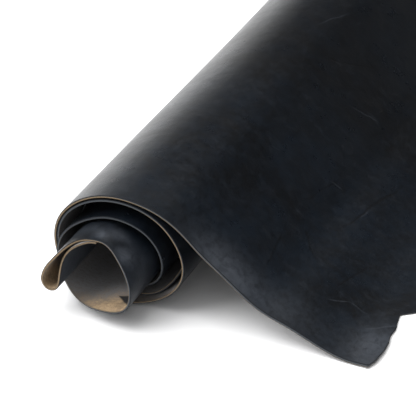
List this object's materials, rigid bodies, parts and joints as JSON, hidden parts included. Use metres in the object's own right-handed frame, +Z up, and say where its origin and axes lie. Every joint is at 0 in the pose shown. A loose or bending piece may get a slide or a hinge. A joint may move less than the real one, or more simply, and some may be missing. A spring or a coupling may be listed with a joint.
{
  "type": "leather side",
  "caption": "Half hide of smooth dark leather, rolled up loosely grain side out with its outer end let down to the surface as a flap.",
  "frame": {"origin": "under the middle of the box, on the surface that the roll and its flap rest on", "axes": "+Y along the roll, away from the end where the turns show; +X towards the flap's loose end; +Z up"},
  "size_m": [0.4288, 0.8426, 0.1297],
  "materials": {
    "leather": "satin blue-black grain side with soft mottling; tan suede flesh side and tan cut edges"
  },
  "bodies": {
    "root": {"leather_side": "leather"}
  },
  "joints": []
}
